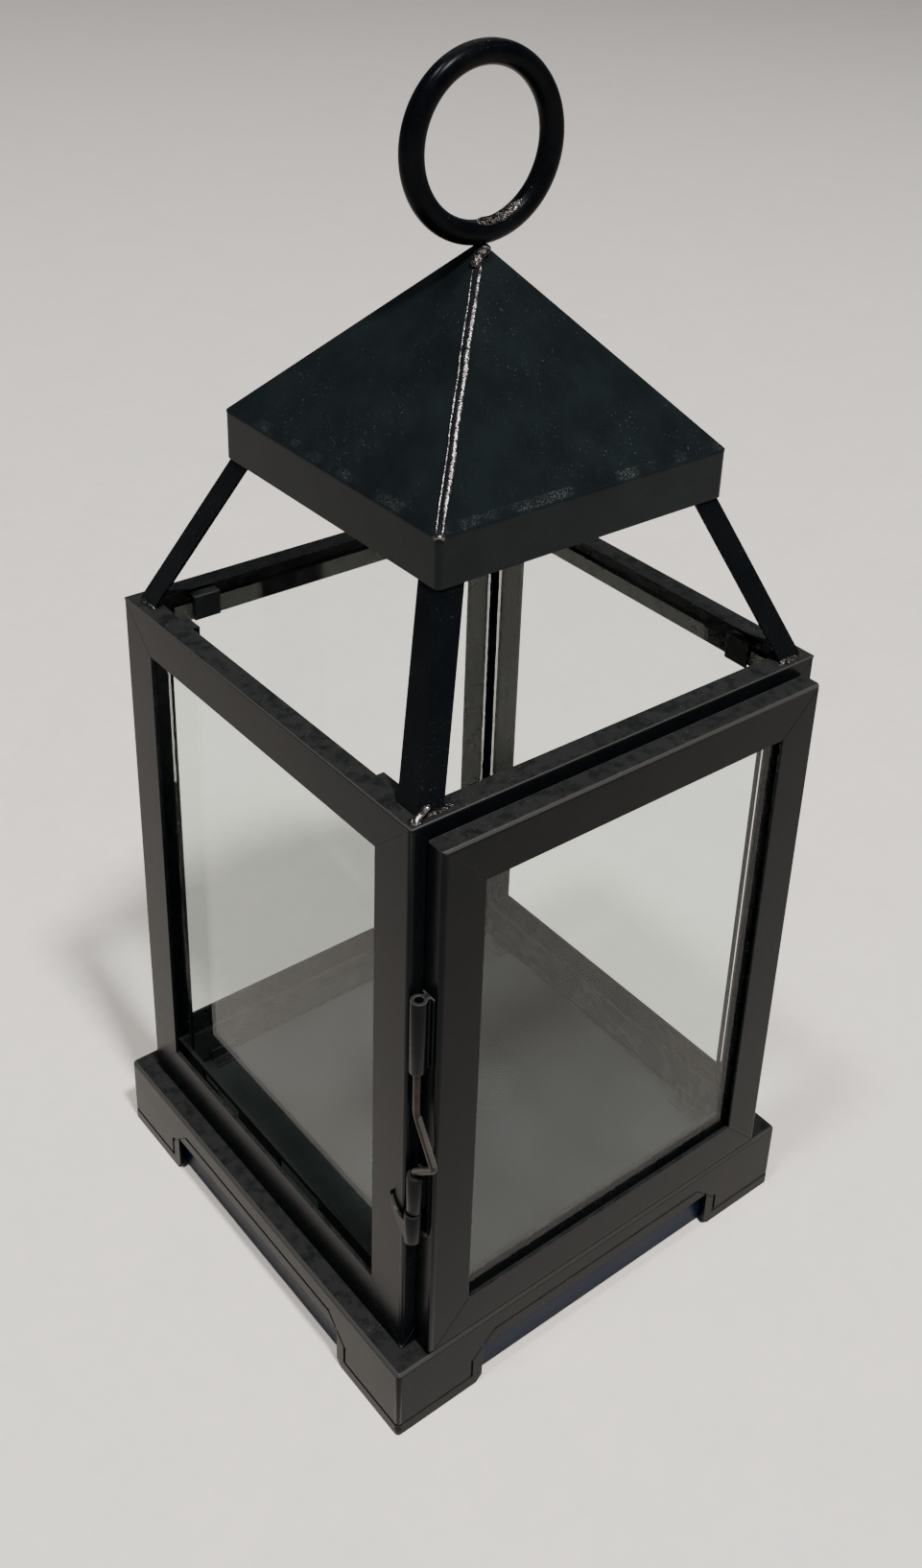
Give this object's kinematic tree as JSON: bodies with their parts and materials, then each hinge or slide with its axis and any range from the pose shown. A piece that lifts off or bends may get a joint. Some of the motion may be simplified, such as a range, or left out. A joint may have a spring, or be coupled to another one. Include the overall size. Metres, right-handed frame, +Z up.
{
  "type": "candle lantern",
  "caption": "Small square candle lantern of folded black sheet with glass panes, a hinged glazed door with a sliding wire latch, an open pyramid cap and a hanging ring.",
  "frame": {"origin": "middle of the square plinth, at the table plane under its feet", "axes": "+Z up, -Y towards the side with the door, +X towards the door's hinges"},
  "size_m": [0.1064, 0.1088, 0.2541],
  "materials": {
    "body_black": "semi-gloss black lacquer on folded steel sheet",
    "door_black": "semi-gloss black lacquer on folded steel sheet",
    "clear_glass": "clear float glass",
    "hardware_black": "black lacquered steel, a little worn"
  },
  "bodies": {
    "lantern": {"base_skirt": "body_black", "floor_pan": "body_black", "post_front_left": "body_black", "post_front_right": "body_black", "post_back_left": "body_black", "post_back_right": "body_black", "top_rail_front": "body_black", "top_rail_back": "body_black", "top_rail_left": "body_black", "top_rail_right": "body_black", "bottom_rail_front": "body_black", "bottom_rail_back": "body_black", "bottom_rail_left": "body_black", "bottom_rail_right": "body_black", "rafter_front_left": "body_black", "rafter_front_right": "body_black", "rafter_back_left": "body_black", "rafter_back_right": "body_black", "roof_cap": "body_black", "hanging_ring": "body_black", "pane_tabs": "body_black", "glass_left": "clear_glass", "glass_back": "clear_glass", "glass_right": "clear_glass", "hinge_post_leaves": "hardware_black", "hinge_pins": "hardware_black", "latch_keeper": "hardware_black"},
    "door": {"door_rail_bottom": "door_black", "door_rail_top": "door_black", "door_stile_left": "door_black", "door_stile_right": "door_black", "door_clips": "door_black", "door_glass": "clear_glass", "hinge_door_leaves": "hardware_black", "latch_barrel_upper": "hardware_black", "latch_barrel_lower": "hardware_black"},
    "latch_bolt": {"latch_bolt": "hardware_black"}
  },
  "joints": [
    {"name": "door_hinge", "type": "hinge", "parent": "lantern", "child": "door", "pos_m": [0.0472, -0.0497, 0.08], "axis": [0, 0, 1], "range_deg": [0, 110]},
    {"name": "latch_slide", "type": "slide", "parent": "door", "child": "latch_bolt", "axis": [0, 0, 1], "range_m": [0, 0.008]}
  ]
}
